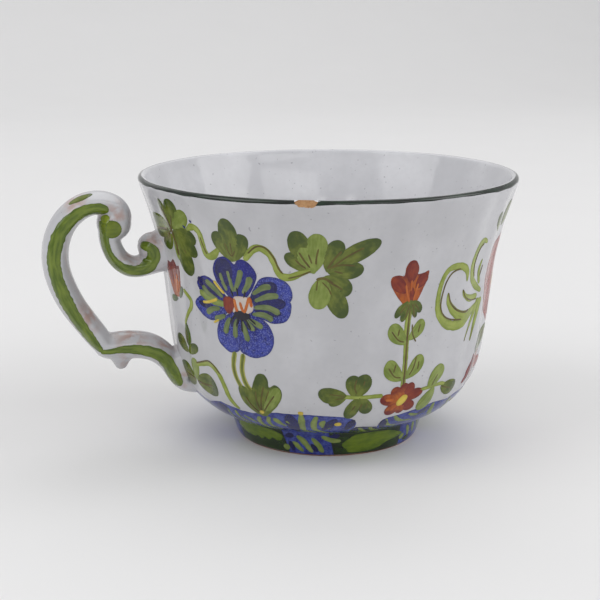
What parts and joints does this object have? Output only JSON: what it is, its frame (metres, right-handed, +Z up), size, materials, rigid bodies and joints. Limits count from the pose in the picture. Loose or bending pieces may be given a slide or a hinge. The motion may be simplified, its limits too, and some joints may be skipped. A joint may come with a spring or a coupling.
{
  "type": "teacup",
  "caption": "Fluted teacup on a low foot ring, with an everted lip and an open scroll handle that is luted to the wall at two roots.",
  "frame": {"origin": "centre of the foot ring's bearing plane", "axes": "+Z up along the cup's axis; the handle points along -X and lies in the XZ plane"},
  "size_m": [0.1193, 0.0954, 0.0672],
  "materials": {
    "biscuit": "fired earthenware, matt and slightly rough",
    "slip": "fired clay slip, matt",
    "tin_glaze": "glossy bluish-white tin glaze"
  },
  "bodies": {
    "root": {"bowl": "biscuit", "foot_ring": "biscuit", "handle": "biscuit", "upper_slip_joint": "slip", "lower_slip_joint": "slip", "inside_glaze": "tin_glaze", "outside_glaze": "tin_glaze", "base_glaze": "tin_glaze"}
  },
  "joints": []
}
